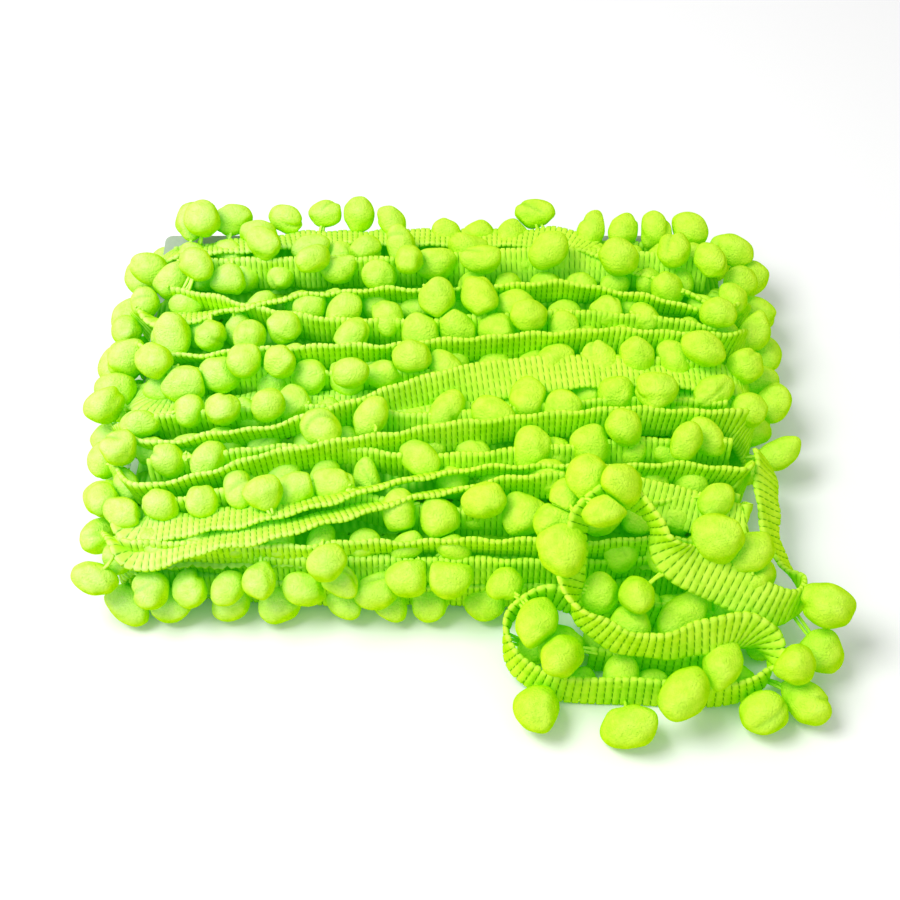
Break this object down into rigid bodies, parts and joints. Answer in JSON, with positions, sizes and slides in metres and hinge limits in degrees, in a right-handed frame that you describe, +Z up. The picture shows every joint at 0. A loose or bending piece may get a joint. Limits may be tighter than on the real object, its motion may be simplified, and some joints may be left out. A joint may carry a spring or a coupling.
{
  "type": "pompom fringe trim wound on a card",
  "caption": "Ribbed braid edged with round yarn pompoms, wound flat on a board card, with a loose end heaped beside it for sewing trim.",
  "frame": {"origin": "on the flat underside, at the middle of the wound trim", "axes": "+X along the winding towards the loose end, +Y away from the loose end, +Z up"},
  "size_m": [0.1816, 0.1617, 0.0501],
  "materials": {
    "yarn": "soft fuzzy yarn in neon yellow green, matt",
    "board": "plain grey pulp board, matt"
  },
  "bodies": {
    "root": {"card": "board", "wound_trim": "yarn", "loose_trim": "yarn"}
  },
  "joints": []
}
